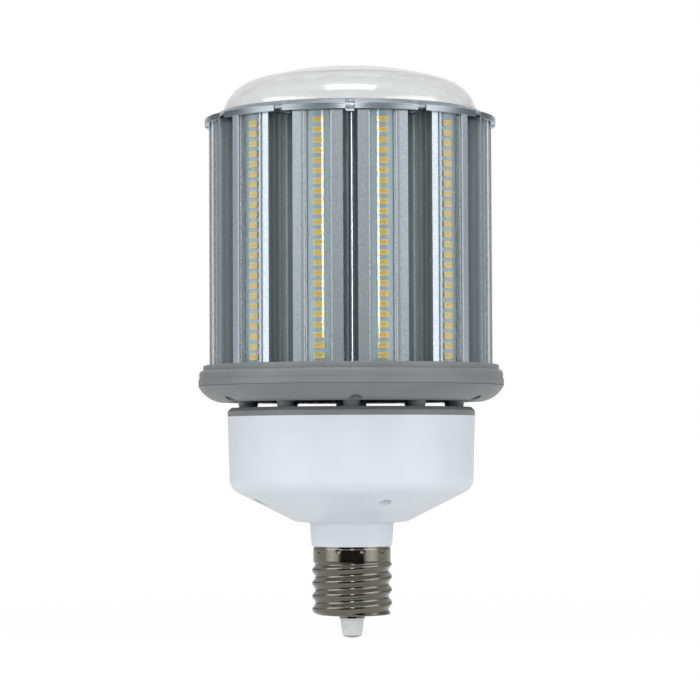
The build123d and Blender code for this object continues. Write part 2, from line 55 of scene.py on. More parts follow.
# Screw shell: THREAD_FRONT_CREST is the height of a crest in front, and PUNCH_ANGLE is in degrees
THREAD_PITCH = 6.35 * MM
THREAD_DEPTH = 1.6 * MM
THREAD_FRONT_CREST = 15.5 * MM
THREAD_STEPS = 240
SHELL_ROWS = 150
PUNCH_COUNT = 10
PUNCH_ANGLE = 15.3
PUNCH_BELOW_TOP = 2.2 * MM
PUNCH_SIZE = 0.55 * MM
PUNCH_DEPTH = 0.5 * MM
RIM_LINE = 1.3 * MM
RIM_STEP = 0.18 * MM
SKIRT_STEP = 0.6 * MM
SKIRT_HEIGHT = 8.2 * MM
SKIRT_BLEND = 0.35 * THREAD_PITCH
SHELL_WALL = 0.65 * MM
SHELL_FOOT_ROUND = 1.6 * MM
SHELL_CREASE = math.radians(40)
NECK_HEIGHT = 1.6 * MM
NECK_RADIUS = 6.35 * MM
NECK_BORE = 5.75 * MM

# LEDs, with the material slots of a body, its window and its sides, whose dark finish is painted shade
LED_WIDTH = 5.6 * MM
LED_LENGTH = 3.0 * MM
LED_CORNER = 0.45 * MM
LED_CORNER_STEPS = 4
LED_EDGE = 0.12 * MM
LED_RIM = 0.42 * MM
LED_WINDOW_DEPTH = 0.15 * MM
LED_BODY_SLOT = 0
LED_WINDOW_SLOT = 1
LED_SHADED_SIDE_SLOT = 2
LEVEL_DIGITS = 6

# Screws: the tip is a share of the shank's radius, and the head and cross are shares of the head's sizes
SCREW_STEPS = 24
SCREW_PITCH = 0.8 * MM
SCREW_GROOVE = 0.25 * MM
SCREW_TIP = 0.4
HEAD_PROFILE = ((1.0, 0.0), (1.0, 0.55), (0.93, 0.82), (0.76, 1.0))
CROSS_WIDTH = 0.26
CROSS_MOUTH = 0.55
CROSS_FLOOR = 0.42
CROSS_FLOOR_LEVEL = 0.35
# Shares of a plain screw's greatest radius, past which a corner is on the head, or at least on the shank
HEAD_SHARE = 0.8
SHANK_SHARE = 0.3

# Finishes: the noise's middle span, which most of its values lie in, and values that finishes share
NOISE_SPAN = (0.3, 0.7)
METAL = {"Metallic": 1.0}
PLASTIC_IOR = 1.46
COAT_ROUGHNESS = 0.10
# Where a new stop of a ramp is put until it gets its own position
NEW_STOP = 0.5

# Heat sink: scale of its lines, a tint with painted shade at each distance from the axis (dark on the flute
# walls), and gloss of its flutes and lands
EXTRUSION_SCALE = (2600, 2600, 2)
SINK_FLOOR = 56 * MM
SINK_RIM = 69.2 * MM
SINK_PAINTED_SHADE = (
    (60.3 * MM, (1.0, 0.96, 0.90)),
    (64.0 * MM, (0.52, 0.49, 0.46)),
    (67.5 * MM, (0.48, 0.47, 0.45)),
    (68.9 * MM, (1.0, 1.0, 1.0)),
)
FLUTE_FLOOR = 66 * MM
FLUTE_MOUTH = 68.8 * MM
FLUTE_ROUGHNESS = 0.58
LAND_ROUGHNESS = 0.21

# Heat sink: where its panels, channels and seam are, and the material slots of its faces
PANEL_FACE = 68.6 * MM
FACE_BAND = 0.45 * MM
SIDE_LEAN = 0.3
CHANNEL_HALF = 7.0 * MM
CHANNEL_FLOOR = 60 * MM
SEAM_HALF = 1.2 * MM
SEAM_NOSE = 56.4 * MM
SINK_PLAIN_SLOT = 0
# Slot of the bead sides, which carry painted shade
SINK_SHADED_SIDE_SLOT = 1
SINK_CHANNEL_SLOT = 2

# Small rounds on the sharp edges of metal pieces, full on the panels' corners and lips
EDGE_ROUND = 0.2 * MM
PLATE_ROUND = 0.2 * MM
ROUND_STEPS = 3
FLUTE_ROUND_SHARE = 0.6
SHARP = math.radians(30)
WELD = 0.001 * MM
FLAT = math.radians(0.5)

# Studio lights: azimuths in degrees from the front, and radiances where 1 is white
LAMP_MIDDLE = (0, 0, 0.16)
SIDE_AZIMUTH = 66
SIDE_LIGHT = {"distance": 1.4, "height": 0.3, "width": 1.89, "tall": 0.7, "radiance": 1.85}
HIGH_AZIMUTH = 60
HIGH_LIGHT = {"distance": 1.25, "height": 0.85, "width": 1.3, "tall": 0.3, "radiance": 3.2}
FRONT_LIGHT = {"distance": 1.6, "height": 0.325, "width": 0.26, "tall": 0.23, "radiance": 15.0}
OVERHEAD_LIGHT = {"distance": 0.80, "height": 1.62, "width": 1.0, "tall": 0.5, "radiance": 5.0}
# Share of a side light's radiance from its front edge to its back edge
SIDE_PROFILE = (
    (0.0, 0.05),
    (0.25, 0.70),
    (0.42, 1.0),
    (0.60, 0.74),
    (0.72, 0.34),
    (0.82, 0.10),
    (0.9, 0.02),
    (1.0, 0.0),
)

# Studio world: light on matte faces, levels in mirrors, and the spans over which a level passes into the next
AMBIENT = 0.2
AMBIENT_COLOUR = (0.965, 0.985, 1.0, 1)
HORIZON_GLOW = 0.9
HORIZON_SPAN = (0.0, 0.1)
MIRRORED_FLOOR = 1.0
FLOOR_SPAN = (-0.85, -0.55)
MIRRORED_SIDE = 0.75
MIRRORED_LOW = 0.05
SIDE_SPAN = (math.radians(136), math.radians(144))
MIRRORED_HIGH = 0.5
LENS_SPAN = (-0.01, 0.05)
MIRRORED_SKY = 1.0
SKY_SPAN = (0.2, 0.5)
MIRRORED_BACK = 0.25
MIRRORED_WHITE = 0.88
BACK_RISE_SPAN = (0.12, 0.35)
BACK_SPAN = (0.80, 0.93)
DEPTH_SPAN = (-0.1, 0.1)

# Studio floor: its glow near the lamp, and the reach over which that fades into plain white
FLOOR_FRONT = -0.03
FLOOR_REACH = 8.0
FLOOR_COLOUR = (0.9, 0.9, 0.9, 1)
FLOOR_ROUGHNESS = 0.9
FLOOR_GLOW = 0.98
SHADOW_REACH = 0.15
FADE_REACH = 0.8


# Shapes


def add_object(name, mesh, slot, *materials):
    """New piece of the lamp, which rides on the lamp's one body."""
    piece = bpy.data.objects.new(name, mesh)
    bpy.context.scene.collection.objects.link(piece)
    for material in materials:
        mesh.materials.append(material)
    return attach(piece, "root")


def finished_mesh(shape, name):
    """Mesh of a shape that is ready. The shape itself is let go."""
    mesh = bpy.data.meshes.new(name)
    shape.to_mesh(mesh)
    shape.free()
    return mesh


def skin(shape, lower, upper):
    """New faces between two rings with the same count of corners."""
    faces = []
    for i, start in enumerate(lower):
        j = (i + 1) % len(lower)
        faces.append(shape.faces.new((start, lower[j], upper[j], upper[i])))
    return faces


# Shader nodes


def math_node(tree, operation, *values):
    """Output of a Math node that takes these outputs."""
    made = tree.nodes.new("ShaderNodeMath")
    made.operation = operation
    for socket, value in zip(made.inputs, values):
        tree.links.new(value, socket)
    return made.outputs[0]


def span_node(tree, value, ends, levels):
    """Value mapped from one span to another, and held at its ends. A level is a number or an output."""
    made = tree.nodes.new("ShaderNodeMapRange")
    for socket, end in zip(("From Min", "From Max"), ends):
        made.inputs[socket].default_value = end
    for socket, level in zip(("To Min", "To Max"), levels):
        if isinstance(level, bpy.types.NodeSocket):
            tree.links.new(level, made.inputs[socket])
        else:
            made.inputs[socket].default_value = level
    tree.links.new(value, made.inputs["Value"])
    return made.outputs["Result"]


def set_stops(ramp, stops):
    """Gives a colour ramp its stops, each with a position and a colour."""
    elements = ramp.color_ramp.elements
    while len(elements) < len(stops):
        elements.new(NEW_STOP)
    for element, (position, colour) in zip(elements, stops):
        element.position = position
        element.color = (*colour, 1)


class Finish:
    """Material built on one Principled shader, with textures in the lamp's own coordinates."""

    def __init__(self, name, sockets=None):
        self.material = bpy.data.materials.new(name)
        self.material.use_nodes = True
        self.tree = self.material.node_tree
        self.shader = self.tree.nodes["Principled BSDF"]
        for socket, value in (sockets or {}).items():
            self.shader.inputs[socket].default_value = value

    def node(self, kind, **settings):
        made = self.tree.nodes.new(kind)
        for setting, value in settings.items():
            setattr(made, setting, value)
        return made

    def link(self, output, socket):
        self.tree.links.new(output, socket)

    def place(self):
        return self.node("ShaderNodeTexCoord").outputs["Object"]

    def scaled(self, vector, scale):
        mapping = self.node("ShaderNodeMapping")
        mapping.inputs["Scale"].default_value = scale
        self.link(vector, mapping.inputs["Vector"])
        return mapping.outputs["Vector"]

    def radius(self):
        """Distance from the lamp's axis."""
        flat = self.node("ShaderNodeVectorMath", operation="LENGTH")
        self.link(self.scaled(self.place(), (1, 1, 0)), flat.inputs[0])
        return flat.outputs["Value"]

    def turned(self, along, across):
        """Coordinates that run round the axis, for marks left by turning or brushing in a circle."""
        split = self.node("ShaderNodeSeparateXYZ")
        joined = self.node("ShaderNodeCombineXYZ")
        self.link(self.place(), split.inputs[0])
        angle = math_node(self.tree, "ARCTAN2", split.outputs["Y"], split.outputs["X"])
        self.link(angle, joined.inputs["X"])
        self.link(self.radius(), joined.inputs["Y"])
        self.link(split.outputs["Z"], joined.inputs["Z"])
        return self.scaled(joined.outputs[0], (along, across, across))

    def noise(self, vector, scale=1.0, detail=4.0):
        texture = self.node("ShaderNodeTexNoise")
        texture.inputs["Scale"].default_value = scale
        texture.inputs["Detail"].default_value = detail
        self.link(vector, texture.inputs["Vector"])
        return texture.outputs["Fac"]

    def colours(self, pattern, low, high, tint=None):
        """Base colour between two colours, with an optional tint over it."""
        ramp = self.node("ShaderNodeValToRGB")
        set_stops(ramp, tuple(zip(NOISE_SPAN, (low, high))))
        self.link(pattern, ramp.inputs["Fac"])
        colour = ramp.outputs["Color"]
        if tint:
            tinted = self.node("ShaderNodeVectorMath", operation="MULTIPLY")
            self.link(colour, tinted.inputs[0])
            self.link(tint, tinted.inputs[1])
            colour = tinted.outputs["Vector"]
        self.link(colour, self.shader.inputs["Base Color"])

    def roughness(self, value, ends, levels):
        self.link(span_node(self.tree, value, ends, levels), self.shader.inputs["Roughness"])

    def bump(self, pattern, depth):
        bump = self.node("ShaderNodeBump")
        bump.inputs["Distance"].default_value = depth
        self.link(pattern, bump.inputs["Height"])
        self.link(bump.outputs["Normal"], self.shader.inputs["Normal"])


# Finishes


def plain_finish(name, low, high, rough, grain, depth, sockets=None):
    """Finish with an even grain in its colour, gloss and surface."""
    made = Finish(name, sockets)
    pattern = made.noise(made.place(), grain)
    made.colours(pattern, low, high)
    made.roughness(pattern, NOISE_SPAN, rough)
    made.bump(pattern, depth)
    return made.material


def extruded_metal(name, low, high, grain, depth):
    """Metal with fine lines along the axis, duller in the flutes than on the lands, with painted shade on the
    flute walls.
    """
    made = Finish(name, METAL)
    lines = made.noise(made.scaled(made.place(), EXTRUSION_SCALE), detail=1.0)
    pattern = made.noise(made.place(), grain, detail=3.0)
    radius = made.radius()
    # Painted shade: a ramp on the distance from the axis darkens the flute walls
    tint = made.node("ShaderNodeValToRGB")
    stops = []
    for reach, colour in SINK_PAINTED_SHADE:
        stops.append(((reach - SINK_FLOOR) / (SINK_RIM - SINK_FLOOR), colour))
    set_stops(tint, stops)
    made.link(span_node(made.tree, radius, (SINK_FLOOR, SINK_RIM), (0.0, 1.0)), tint.inputs["Fac"])
    made.colours(pattern, low, high, tint.outputs["Color"])
    made.roughness(radius, (FLUTE_FLOOR, FLUTE_MOUTH), (FLUTE_ROUGHNESS, LAND_ROUGHNESS))
    made.bump(lines, depth)
    return made.material


def turned_metal(name, low, high, rough, along, across, depth):
    """Metal with fine marks that run round the axis."""
    made = Finish(name, METAL)
    streaks = made.noise(made.turned(along, across), detail=3.0)
    made.colours(streaks, low, high)
    made.roughness(streaks, NOISE_SPAN, rough)
    made.bump(streaks, depth)
    return made.material


def clear_plastic(name, tint, rough, coat, waves, depth):
    """Clear plastic with a smooth coat and slow waves in its surface."""
    sockets = {
        "Transmission Weight": 1.0,
        "IOR": PLASTIC_IOR,
        "Base Color": (*tint, 1),
        "Coat Weight": coat,
        "Coat Roughness": COAT_ROUGHNESS,
    }
    made = Finish(name, sockets)
    pattern = made.noise(made.place(), waves, detail=2.0)
    made.roughness(pattern, NOISE_SPAN, rough)
    made.bump(pattern, depth)
    return made.material


def moulded_plastic(name, low, high, rough, clouds, grain, depth):
    """Plastic with broad clouds in its colour and a fine grain in its gloss and surface."""
    made = Finish(name)
    fine = made.noise(made.place(), grain, detail=3.0)
    broad = made.noise(made.place(), clouds, detail=2.0)
    made.colours(broad, low, high)
    made.roughness(fine, NOISE_SPAN, rough)
    made.bump(fine, depth)
    return made.material


CLEAR = clear_plastic(
    "clear_cover_strip", tint=(0.97, 0.985, 0.99), rough=(0.03, 0.06), coat=0.4, waves=140, depth=0.002 * MM
)
DOME = clear_plastic(
    "clear_cover_dome", tint=(1.0, 1.0, 1.0), rough=(0.16, 0.22), coat=1.0, waves=140, depth=0.01 * MM
)
SINK = extruded_metal(
    "sink_metal_extruded", low=(0.50, 0.57, 0.62), high=(0.73, 0.82, 0.88), grain=2100, depth=0.004 * MM
)
SINK_CHANNEL = plain_finish(
    "sink_metal_channel", low=(0.66, 0.71, 0.75), high=(0.80, 0.85, 0.89), rough=(0.25, 0.35),
    grain=1500, depth=0.005 * MM, sockets=METAL,
)
# Bead sides: darker and rougher than the lands, painted shade that keeps them from catching light
SINK_SHADED_SIDE = plain_finish(
    "sink_metal_side_painted_shade", low=(0.30, 0.32, 0.34), high=(0.44, 0.46, 0.48), rough=(0.6, 0.7),
    grain=1500, depth=0.01 * MM, sockets=METAL,
)
RING = turned_metal(
    "ring_metal_brushed", low=(0.24, 0.275, 0.30), high=(0.34, 0.385, 0.415), rough=(0.20, 0.32),
    along=3.0, across=4200.0, depth=0.004 * MM,
)
NICKEL = turned_metal(
    "nickel_plate_drawn", low=(0.13, 0.124, 0.106), high=(0.16, 0.152, 0.131), rough=(0.07, 0.12),
    along=4.0, across=1500.0, depth=0.002 * MM,
)
BOARD = plain_finish(
    "board_white_masked", low=(0.34, 0.52, 0.62), high=(0.44, 0.61, 0.70), rough=(0.30, 0.45),
    grain=900, depth=0.01 * MM,
)
PHOSPHOR = plain_finish(
    "led_yellow_phosphor", low=(0.81, 0.53, 0.01), high=(0.91, 0.62, 0.02), rough=(0.35, 0.5),
    grain=3000, depth=0.02 * MM,
)
LED_BODY = plain_finish(
    "led_yellow_body", low=(0.80, 0.68, 0.26), high=(0.90, 0.79, 0.36), rough=(0.35, 0.5),
    grain=2500, depth=0.01 * MM,
)
# LED sides: near black, painted shade where the sides stand in shadow
LED_SHADED_SIDE = plain_finish(
    "led_side_painted_shade", low=(0.07, 0.075, 0.06), high=(0.11, 0.11, 0.09), rough=(0.4, 0.5),
    grain=2500, depth=0.01 * MM,
)
STEEL = plain_finish(
    "screw_steel_zinc", low=(0.45, 0.46, 0.47), high=(0.58, 0.59, 0.60), rough=(0.25, 0.4),
    grain=1500, depth=0.01 * MM, sockets=METAL,
)
FINISHES = {
    "clear_cover": CLEAR,
    "ring_metal": RING,
    "sink_metal": SINK,
    "board_white": BOARD,
    "led_yellow": PHOSPHOR,
    "grey_plastic": moulded_plastic(
        "grey_plastic_moulded", low=(0.176, 0.187, 0.187), high=(0.205, 0.216, 0.216), rough=(0.42, 0.50),
        clouds=45, grain=5200, depth=0.008 * MM,
    ),
    "white_plastic": moulded_plastic(
        "white_plastic_moulded", low=(0.70, 0.74, 0.79), high=(0.74, 0.78, 0.83), rough=(0.30, 0.42),
        clouds=30, grain=3800, depth=0.015 * MM,
    ),
    "nickel_plate": NICKEL,
    "white_ceramic": plain_finish(
        "white_ceramic_glazed", low=(0.89, 0.93, 0.93), high=(0.93, 0.96, 0.96), rough=(0.2, 0.35),
        grain=1200, depth=0.003 * MM,
    ),
    "contact_metal": plain_finish(
        "contact_metal_worn", low=(0.26, 0.25, 0.23), high=(0.40, 0.38, 0.35), rough=(0.3, 0.5),
        grain=900, depth=0.02 * MM, sockets=METAL,
    ),
    "board_green": plain_finish(
        "board_green_masked", low=(0.02, 0.12, 0.05), high=(0.03, 0.18, 0.08), rough=(0.3, 0.45),
        grain=500, depth=0.02 * MM,
    ),
    "winding_tape": plain_finish(
        "winding_tape_film", low=(0.72, 0.52, 0.05), high=(0.82, 0.62, 0.08), rough=(0.25, 0.4),
        grain=400, depth=0.03 * MM,
    ),
    "can_sleeve": plain_finish(
        "can_sleeve_film", low=(0.015, 0.02, 0.035), high=(0.03, 0.04, 0.07), rough=(0.25, 0.4),
        grain=300, depth=0.03 * MM,
    ),
    "ferrite": plain_finish(
        "ferrite_coated", low=(0.02, 0.08, 0.05), high=(0.04, 0.13, 0.08), rough=(0.35, 0.5),
        grain=700, depth=0.05 * MM,
    ),
    "lead_sleeve": plain_finish(
        "lead_sleeve_rubber", low=(0.32, 0.02, 0.02), high=(0.45, 0.03, 0.03), rough=(0.4, 0.55),
        grain=900, depth=0.03 * MM,
    ),
    "screw_steel": STEEL,
}
for solid in nodes.values():
    for slot in solid.material_slots:
        slot.material = FINISHES[slot.material.name]
nodes["dome_cover"].material_slots[0].material = DOME


# Heat sink and top plate


def strip_frame(node):
    """Tangent and outward normal of the panel that carries a strip."""
    low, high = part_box(node)
    outward = Vector((low.x + high.x, low.y + high.y, 0)).normalized()
    return Vector((-outward.y, outward.x, 0)), outward


OUTWARDS = [strip_frame(node)[1] for node in sorted(nodes) if node.startswith("led_board_")]


def panel_round(edge):
    """Share of the round on an edge of the heat sink: full on panel corners and lips, none on beads."""
    middle = (edge.verts[0].co + edge.verts[1].co) / 2
    reach = max(middle.dot(outward) for outward in OUTWARDS)
    if reach > PANEL_FACE + FACE_BAND:
        return 0.0
    return 1.0 if reach > PANEL_FACE - FACE_BAND else FLUTE_ROUND_SHARE


def sink_slot(face):
    """Material slot of a face of the heat sink: bead sides are dull and painted darker (painted shade),
    channels and seam noses bright.
    """
    middle = face.calc_center_median()
    outward = max(OUTWARDS, key=middle.dot)
    reach = middle.dot(outward)
    lateral = (middle - outward * reach).to_2d().length
    if abs(middle.x) < SEAM_HALF and middle.to_2d().length > SEAM_NOSE and face.normal.dot(middle) > 0:
        return SINK_CHANNEL_SLOT
    if reach > PANEL_FACE:
        return SINK_SHADED_SIDE_SLOT if abs(face.normal.dot(outward)) < SIDE_LEAN else SINK_PLAIN_SLOT
    return SINK_CHANNEL_SLOT if lateral < CHANNEL_HALF and reach > CHANNEL_FLOOR else SINK_PLAIN_SLOT


def softened(name, slot, materials, width, share=None, material_slot=None):
    """Copy of a metal node with small rounds on its sharp outer edges."""
    shape = bmesh.new()
    shape.from_mesh(nodes[name].data)
    bmesh.ops.remove_doubles(shape, verts=shape.verts, dist=WELD)
    bmesh.ops.dissolve_limit(shape, angle_limit=FLAT, verts=shape.verts, edges=shape.edges)
    weight = shape.edges.layers.float.new("bevel_weight_edge")
    for edge in shape.edges:
        sharp = edge.is_manifold and edge.calc_face_angle() > SHARP
        edge.smooth = not sharp
        if sharp and edge.is_convex:
            edge[weight] = share(edge) if share else 1.0
    for face in shape.faces:
        face.smooth = True
        face.material_index = material_slot(face) if material_slot else 0
    mesh = finished_mesh(shape, name + "_finished")
    if "custom_normal" in mesh.attributes:
        mesh.attributes.remove(mesh.attributes["custom_normal"])
    piece = add_object(name + "_finished", mesh, slot, *materials)
    rounds = piece.modifiers.new("edge rounds", "BEVEL")
    rounds.width = width
    rounds.segments = ROUND_STEPS
    rounds.limit_method = "WEIGHT"
    rounds.harden_normals = True
    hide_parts(name)


for half in ("heat_sink_right", "heat_sink_left"):
    softened(half, "sink_metal", (SINK, SINK_SHADED_SIDE, SINK_CHANNEL), EDGE_ROUND, panel_round, sink_slot)
softened("top_plate", "ring_metal", (RING,), PLATE_ROUND)


# LEDs


def rounded_loop(width, length, corner):
    """Points round a rectangle with rounded corners."""
    points = []
    for quarter in range(4):
        side_x = 1 if quarter in (0, 3) else -1
        side_y = 1 if quarter < 2 else -1
        for step in range(LED_CORNER_STEPS + 1):
            angle = math.radians(90 * (quarter + step / LED_CORNER_STEPS))
            x = side_x * (width / 2 - corner) + corner * math.cos(angle)
            y = side_y * (length / 2 - corner) + corner * math.sin(angle)
            points.append((x, y))
    return points


def add_led(shape, place, width, length, height):
    """Moulded LED body with a rounded rim round a sunk window of phosphor."""
    rims = (
        (0.0, 0.0),
        (0.0, height - LED_EDGE),
        (LED_EDGE, height),
        (LED_RIM, height),
        (LED_RIM + LED_EDGE, height - LED_WINDOW_DEPTH),
    )
    loops = []
    for inset, level in rims:
        outline = rounded_loop(width - 2 * inset, length - 2 * inset, LED_CORNER + inset)
        loops.append([shape.verts.new(place @ Vector((x, y, level))) for x, y in outline])
    # The lowest band is the LED's sides, which get the painted shade
    for band, (lower, upper) in enumerate(zip(loops, loops[1:])):
        for face in skin(shape, lower, upper):
            face.material_index = LED_SHADED_SIDE_SLOT if band == 0 else LED_BODY_SLOT
    shape.faces.new(list(reversed(loops[0])))
    window = shape.faces.new(loops[-1])
    window.material_index = LED_WINDOW_SLOT


def led_piece(name, places, width, length, height):
    """Detailed LEDs of one size at these places, in place of a node."""
    shape = bmesh.new()
    for place in places:
        add_led(shape, place, width, length, height)
    mesh = finished_mesh(shape, name + "_lit")
    piece = add_object(name + "_detailed", mesh, "led_yellow", LED_BODY, PHOSPHOR, LED_SHADED_SIDE)
    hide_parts(name)


def span(node, direction):
    """Lowest and highest reach of a node along a direction."""
    reach = [vertex.co.dot(direction) for vertex in nodes[node].data.vertices]
    return min(reach), max(reach)


def strip_leds(node):
    """Detailed LEDs where the boxes of a strip's node are."""
    tangent, outward = strip_frame(node)
    back, face = span(node, outward)
    left, right = span(node, tangent)
    levels = sorted({round(vertex.co.z, LEVEL_DIGITS) for vertex in nodes[node].data.vertices})
    up = Vector((0, 0, 1))
    turn = Matrix((tangent, up, outward)).transposed().to_4x4()
    places = []
    for low, high in zip(levels[::2], levels[1::2]):
        middle = tangent * (left + right) / 2 + outward * back + up * (low + high) / 2
        places.append(Matrix.Translation(middle) @ turn)
    led_piece(node, places, right - left, levels[1] - levels[0], face - back)


def islands(node):
    """Corner points of each separate solid in a node."""
    shape = bmesh.new()
    shape.from_mesh(nodes[node].data)
    bmesh.ops.remove_doubles(shape, verts=shape.verts, dist=WELD)
    reached = set()
    found = []
    for first in shape.verts:
        if first in reached:
            continue
        reached.add(first)
        grown = [first]
        for vertex in grown:
            others = [edge.other_vert(vertex) for edge in vertex.link_edges]
            fresh = [other for other in others if other not in reached]
            reached.update(fresh)
            grown += fresh
        found.append([vertex.co.copy() for vertex in grown])
    shape.free()
    return found


def centre_of(points):
    """Middle of a solid that is even about it, and its lowest and highest level."""
    middle = sum(points, Vector()) / len(points)
    levels = [point.z for point in points]
    return middle.x, middle.y, min(levels), max(levels)


def top_leds(node):
    """Detailed LEDs on the round board, each turned to face along its own radius."""
    places = []
    for points in islands(node):
        x, y, foot, top = centre_of(points)
        turn = Matrix.Rotation(math.atan2(x, -y), 4, "Z")
        places.append(Matrix.Translation((x, y, foot)) @ turn)
    led_piece(node, places, LED_WIDTH, LED_LENGTH, top - foot)


for node in sorted(nodes):
    if node.startswith("leds_"):
        strip_leds(node)
top_leds("top_leds")


# Screws


def ring_points(shape, place, radius, level):
    """Ring of corners round the local axis."""
    ring = []
    for step in range(SCREW_STEPS):
        angle = 2 * math.pi * step / SCREW_STEPS
        corner = Vector((radius * math.cos(angle), radius * math.sin(angle), level))
        ring.append(shape.verts.new(place @ corner))
    return ring


def cross_points(shape, place, reach, level):
    """Corners of a cross of four equal arms."""
    arm = reach * CROSS_WIDTH
    outline = []
    for quarter in range(4):
        turn = Matrix.Rotation(math.radians(90 * quarter), 4, "Z")
        corners = ((reach, -arm), (reach, arm), (arm, arm))
        outline += [shape.verts.new(place @ turn @ Vector((x, y, level))) for x, y in corners]
    return outline


def loop_edges(shape, ring):
    """Edges round a ring of corners, new where there are none yet."""
    pairs = zip(ring, ring[1:] + ring[:1])
    return [shape.edges.get(pair) or shape.edges.new(pair) for pair in pairs]


def add_screw(shape, place, length, head_radius, head_height, shank_radius):
    """Pan-head screw along the local axis, head up: grooved shank, domed head and a cross recess."""
    profile = [(SCREW_TIP * shank_radius, -length), (shank_radius, -length + shank_radius)]
    groove = 0
    while -length + shank_radius + (groove + 1) * SCREW_PITCH < 0:
        level = -length + shank_radius + groove * SCREW_PITCH
        profile.append((shank_radius - SCREW_GROOVE, level + SCREW_PITCH / 2))
        profile.append((shank_radius, level + SCREW_PITCH))
        groove += 1
    profile.append((shank_radius, 0))
    profile += [(share * head_radius, level * head_height) for share, level in HEAD_PROFILE]
    rings = [ring_points(shape, place, radius, level) for radius, level in profile]
    for lower, upper in zip(rings, rings[1:]):
        skin(shape, lower, upper)
    shape.faces.new(list(reversed(rings[0])))
    mouth = cross_points(shape, place, CROSS_MOUTH * head_radius, head_height)
    floor = cross_points(shape, place, CROSS_FLOOR * head_radius, CROSS_FLOOR_LEVEL * head_height)
    rims = loop_edges(shape, rings[-1]) + loop_edges(shape, mouth)
    filled = bmesh.ops.triangle_fill(shape, edges=rims, use_beauty=True)
    up = place.to_3x3() @ Vector((0, 0, 1))
    for face in [item for item in filled["geom"] if isinstance(item, bmesh.types.BMFace)]:
        face.normal_update()
        if face.normal.dot(up) < 0:
            face.normal_flip()
    skin(shape, mouth, floor)
    shape.faces.new(floor)


def screws(node):
    """Detailed screws where the plain ones of a node are, with the head at the wide end."""
    shape = bmesh.new()
    for points in islands(node):
        x, y, foot, top = centre_of(points)
        radii = {point: math.hypot(point.x - x, point.y - y) for point in map(Vector.freeze, points)}
        head_radius = max(radii.values())
        wide = [point.z for point, radius in radii.items() if radius > HEAD_SHARE * head_radius]
        shank_radius = min(radius for radius in radii.values() if radius > SHANK_SHARE * head_radius)
        seat_low, seat_high = min(wide), max(wide)
        head_up = top - seat_high < seat_low - foot
        turn = Matrix.Identity(4) if head_up else Matrix.Rotation(math.pi, 4, "X")
        seat, length = (seat_low, seat_low - foot) if head_up else (seat_high, top - seat_high)
        place = Matrix.Translation((x, y, seat)) @ turn
        add_screw(shape, place, length, head_radius, seat_high - seat_low, shank_radius)
    mesh = finished_mesh(shape, node + "_slotted")
    piece = add_object(node + "_slotted", mesh, "screw_steel", STEEL)
    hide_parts(node)


for node in sorted(nodes):
    if node.endswith("_screws"):
        screws(node)


# Screw shell


def thread_radius(angle, height, root, foot, top):
    """Radius of the shell: a rounded helical thread that runs out at the foot and into the skirt."""
    crest = root + THREAD_DEPTH
    phase = (height - THREAD_FRONT_CREST) / THREAD_PITCH - angle / (2 * math.pi)
    wave = 0.5 + 0.5 * math.cos(2 * math.pi * phase)
    threaded = root + (crest - root) * wave
    skirt = crest - SKIRT_STEP
    skirt_foot = top - SKIRT_HEIGHT
    blend = min(max((height - skirt_foot) / SKIRT_BLEND + 0.5, 0), 1)
    blend = blend * blend * (3 - 2 * blend)
    radius = threaded + (skirt - threaded) * blend
    if top - height < RIM_LINE:
        radius -= RIM_STEP
    pitch = 2 * math.pi / PUNCH_COUNT
    off = (angle - math.radians(PUNCH_ANGLE) + pitch / 2) % pitch - pitch / 2
    spread = math.hypot(off * skirt, top - PUNCH_BELOW_TOP - height) / PUNCH_SIZE
    radius -= PUNCH_DEPTH * math.exp(-spread * spread)
    rise = height - foot
    if rise < SHELL_FOOT_ROUND:
        drop = SHELL_FOOT_ROUND - rise
        radius -= SHELL_FOOT_ROUND - math.sqrt(max(SHELL_FOOT_ROUND**2 - drop**2, 0))
    return radius


def make_screw_shell():
    """Hollow threaded shell on its short neck. Rows without a radius of their own have the thread."""
    low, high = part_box("screw_shell")
    crest = high.x
    root = crest - THREAD_DEPTH
    bore = root - SHELL_WALL
    foot = low.z + NECK_HEIGHT
    floor = foot + SHELL_WALL
    neck = [(NECK_BORE, low.z), (NECK_RADIUS, low.z), (NECK_RADIUS, foot)]
    thread = [(None, foot + (high.z - foot) * i / SHELL_ROWS) for i in range(SHELL_ROWS + 1)]
    inside = [(bore, high.z), (bore, floor), (NECK_BORE, floor)]
    shape = bmesh.new()
    rings = []
    for radius, height in neck + thread + inside:
        ring = []
        for step in range(THREAD_STEPS):
            angle = 2 * math.pi * step / THREAD_STEPS
            reach = radius or thread_radius(angle, height, root, foot, high.z)
            ring.append(shape.verts.new((reach * math.sin(angle), -reach * math.cos(angle), height)))
        rings.append(ring)
    for lower, upper in zip(rings, rings[1:] + rings[:1]):
        for face in skin(shape, lower, upper):
            face.smooth = True
    mesh = finished_mesh(shape, "screw_shell_threaded")
    mesh.set_sharp_from_angle(angle=SHELL_CREASE)
    piece = add_object("screw_shell_threaded", mesh, "nickel_plate", NICKEL)
    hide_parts("screw_shell")


make_screw_shell()


# Studio: white world and floor, a softbox and a high light at each side, one at the camera and one overhead


def light_path_mix(tree, seen, unseen):
    """Mix of two shaders: the first for what the camera, gloss and clear pieces see."""
    path = tree.nodes.new("ShaderNodeLightPath")
    direct = math_node(tree, "MAXIMUM", path.outputs["Is Camera Ray"], path.outputs["Is Glossy Ray"])
    shown = math_node(tree, "MAXIMUM", direct, path.outputs["Is Transmission Ray"])
    mix = tree.nodes.new("ShaderNodeMixShader")
    tree.links.new(shown, mix.inputs["Fac"])
    tree.links.new(unseen.outputs[0], mix.inputs[1])
    tree.links.new(seen.outputs[0], mix.inputs[2])
    return mix


